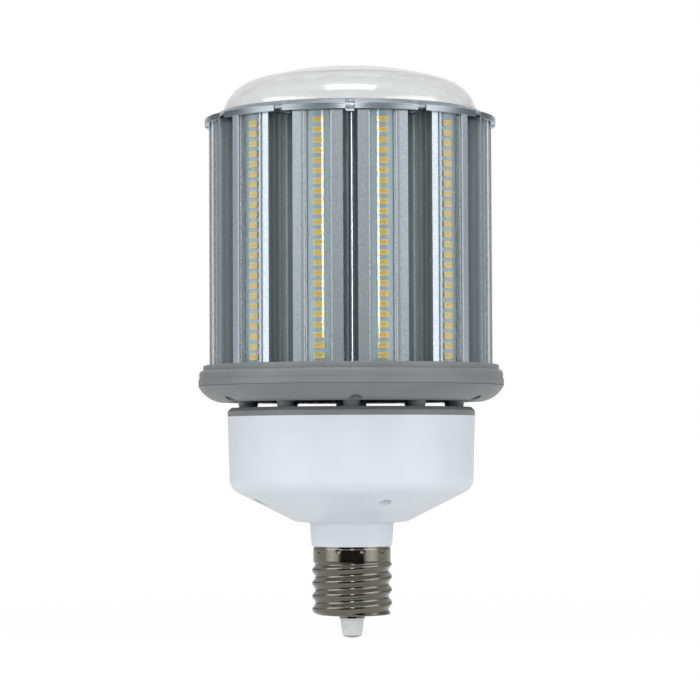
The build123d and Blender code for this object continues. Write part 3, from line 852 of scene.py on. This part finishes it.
def make_world():
    """White to the camera and through clear pieces, soft light on matte faces, and a studio in mirrors.

    Before the lamp, mirrors show a white floor, a dark middle between light sides, and a sky that grows
    white. Behind it they show white straight back and above, and grey elsewhere.
    """
    world = bpy.data.worlds.new("studio")
    bpy.context.scene.world = world
    world.use_nodes = True
    world.cycles.sampling_method = "NONE"
    tree = world.node_tree
    place = tree.nodes.new("ShaderNodeTexCoord")
    split = tree.nodes.new("ShaderNodeSeparateXYZ")
    tree.links.new(place.outputs["Generated"], split.inputs[0])
    right, back, up = split.outputs
    ambient = tree.nodes["Background"]
    ambient.inputs["Color"].default_value = AMBIENT_COLOUR
    glow = span_node(tree, up, HORIZON_SPAN, (HORIZON_GLOW, AMBIENT))
    tree.links.new(glow, ambient.inputs["Strength"])
    azimuth = math_node(tree, "ABSOLUTE", math_node(tree, "ARCTAN2", right, back))
    low = span_node(tree, azimuth, SIDE_SPAN, (MIRRORED_SIDE, MIRRORED_LOW))
    floor = span_node(tree, up, FLOOR_SPAN, (MIRRORED_FLOOR, low))
    sky = span_node(tree, up, SKY_SPAN, (MIRRORED_HIGH, MIRRORED_SKY))
    before = span_node(tree, up, LENS_SPAN, (floor, sky))
    rise = span_node(tree, up, BACK_RISE_SPAN, (MIRRORED_BACK, MIRRORED_WHITE))
    behind = span_node(tree, back, BACK_SPAN, (rise, MIRRORED_WHITE))
    mirrored = span_node(tree, back, DEPTH_SPAN, (before, behind))
    path = tree.nodes.new("ShaderNodeLightPath")
    direct = math_node(tree, "MAXIMUM", path.outputs["Is Camera Ray"], path.outputs["Is Transmission Ray"])
    seen = tree.nodes.new("ShaderNodeBackground")
    tree.links.new(math_node(tree, "MAXIMUM", direct, mirrored), seen.inputs["Color"])
    mix = light_path_mix(tree, seen, ambient)
    tree.links.new(mix.outputs[0], tree.nodes["World Output"].inputs["Surface"])


def make_floor():
    """White floor from just before the lamp's axis to far behind it, which glows but for a faint shadow."""
    mesh = bpy.data.meshes.new("floor")
    corners = [
        (-FLOOR_REACH, FLOOR_FRONT, 0),
        (FLOOR_REACH, FLOOR_FRONT, 0),
        (FLOOR_REACH, FLOOR_REACH, 0),
        (-FLOOR_REACH, FLOOR_REACH, 0),
    ]
    mesh.from_pydata(corners, [], [(0, 1, 2, 3)])
    floor = bpy.data.objects.new("floor", mesh)
    bpy.context.scene.collection.objects.link(floor)
    material = bpy.data.materials.new("floor_white")
    material.use_nodes = True
    tree = material.node_tree
    matte = tree.nodes["Principled BSDF"]
    matte.inputs["Base Color"].default_value = FLOOR_COLOUR
    matte.inputs["Roughness"].default_value = FLOOR_ROUGHNESS
    glow = tree.nodes.new("ShaderNodeEmission")
    shadowed = tree.nodes.new("ShaderNodeMixShader")
    place = tree.nodes.new("ShaderNodeTexCoord")
    reach = tree.nodes.new("ShaderNodeVectorMath")
    reach.operation = "LENGTH"
    tree.links.new(place.outputs["Object"], reach.inputs[0])
    fade = span_node(tree, reach.outputs["Value"], (SHADOW_REACH, FADE_REACH), (FLOOR_GLOW, 1.0))
    tree.links.new(fade, shadowed.inputs["Fac"])
    tree.links.new(matte.outputs[0], shadowed.inputs[1])
    tree.links.new(glow.outputs[0], shadowed.inputs[2])
    mix = light_path_mix(tree, shadowed, matte)
    tree.links.new(mix.outputs[0], tree.nodes["Material Output"].inputs["Surface"])
    mesh.materials.append(material)


def set_profile(lamp, profile):
    """Gives a light its shares of radiance from one edge to the other, along its width."""
    lamp.use_nodes = True
    tree = lamp.node_tree
    across = tree.nodes.new("ShaderNodeNewGeometry")
    split = tree.nodes.new("ShaderNodeSeparateXYZ")
    ramp = tree.nodes.new("ShaderNodeValToRGB")
    set_stops(ramp, [(position, (share, share, share)) for position, share in profile])
    tree.links.new(across.outputs["Parametric"], split.inputs[0])
    tree.links.new(split.outputs["X"], ramp.inputs["Fac"])
    tree.links.new(ramp.outputs["Color"], tree.nodes["Emission"].inputs["Color"])


def softbox(name, azimuth, distance, height, width, tall, radiance, profile=None):
    """Rectangular light on a circle round the lamp, turned to its middle. A profile runs front to back."""
    turn = math.radians(azimuth)
    place = Vector((distance * math.sin(turn), -distance * math.cos(turn), height))
    lamp = bpy.data.lights.new(name, "AREA")
    lamp.shape = "RECTANGLE"
    lamp.size = width
    lamp.size_y = tall
    lamp.energy = radiance * math.pi * width * tall
    if profile and azimuth < 0:
        profile = [(1 - position, share) for position, share in reversed(profile)]
    if profile:
        set_profile(lamp, profile)
    light = bpy.data.objects.new(name, lamp)
    bpy.context.scene.collection.objects.link(light)
    facing = (Vector(LAMP_MIDDLE) - place).to_track_quat("-Z", "Y")
    light.matrix_world = Matrix.Translation(place) @ facing.to_matrix().to_4x4()
    light.visible_camera = False
    light.visible_transmission = False


def make_camera():
    data = bpy.data.cameras.new("camera")
    data.lens = CAMERA_LENS
    data.sensor_width = CAMERA_SENSOR
    camera = bpy.data.objects.new("camera", data)
    bpy.context.scene.collection.objects.link(camera)
    tilt = Matrix.Rotation(math.radians(90 + CAMERA_PITCH), 4, "X")
    roll = Matrix.Rotation(math.radians(CAMERA_ROLL), 4, "Z")
    camera.matrix_world = Matrix.Translation(CAMERA_PLACE) @ tilt @ roll
    bpy.context.scene.camera = camera


make_world()
make_floor()
softbox("softbox_left", -SIDE_AZIMUTH, profile=SIDE_PROFILE, **SIDE_LIGHT)
softbox("softbox_right", SIDE_AZIMUTH, profile=SIDE_PROFILE, **SIDE_LIGHT)
softbox("softbox_front", 0, **FRONT_LIGHT)
softbox("softbox_overhead", 0, **OVERHEAD_LIGHT)
softbox("softbox_high_left", -HIGH_AZIMUTH, **HIGH_LIGHT)
softbox("softbox_high_right", HIGH_AZIMUTH, **HIGH_LIGHT)
make_camera()
bpy.context.scene.view_settings.view_transform = "Standard"
